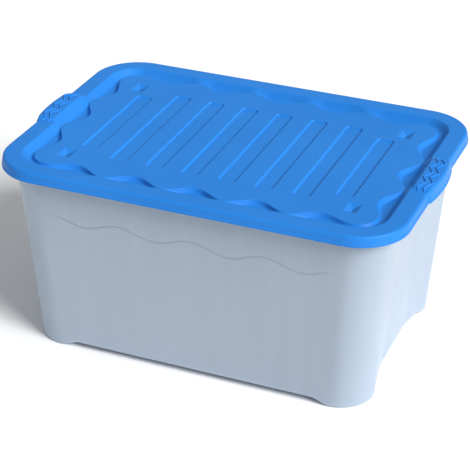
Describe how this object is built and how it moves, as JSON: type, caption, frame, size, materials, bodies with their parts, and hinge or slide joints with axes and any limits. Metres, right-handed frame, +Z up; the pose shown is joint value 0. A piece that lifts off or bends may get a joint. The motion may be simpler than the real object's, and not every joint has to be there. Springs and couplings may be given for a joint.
{
  "type": "under bed box",
  "caption": "Rectangular storage tub in translucent plastic with drafted walls and corner feet, closed by a flat blue press-on lid with lift tabs.",
  "frame": {"origin": "on the ground under the middle of the box, at the underside of the feet", "axes": "+X along the length, +Y along the width, +Z up"},
  "size_m": [0.599, 0.414, 0.2945],
  "materials": {
    "tub_plastic": "frosted translucent",
    "lid_plastic": "satin, opaque"
  },
  "bodies": {
    "tub": {"tub": "tub_plastic"},
    "lid": {"lid": "lid_plastic"}
  },
  "joints": [
    {"name": "lid_lift", "type": "slide", "parent": "tub", "child": "lid", "axis": [0, 0, 1], "range_m": [0, 0.3]}
  ]
}
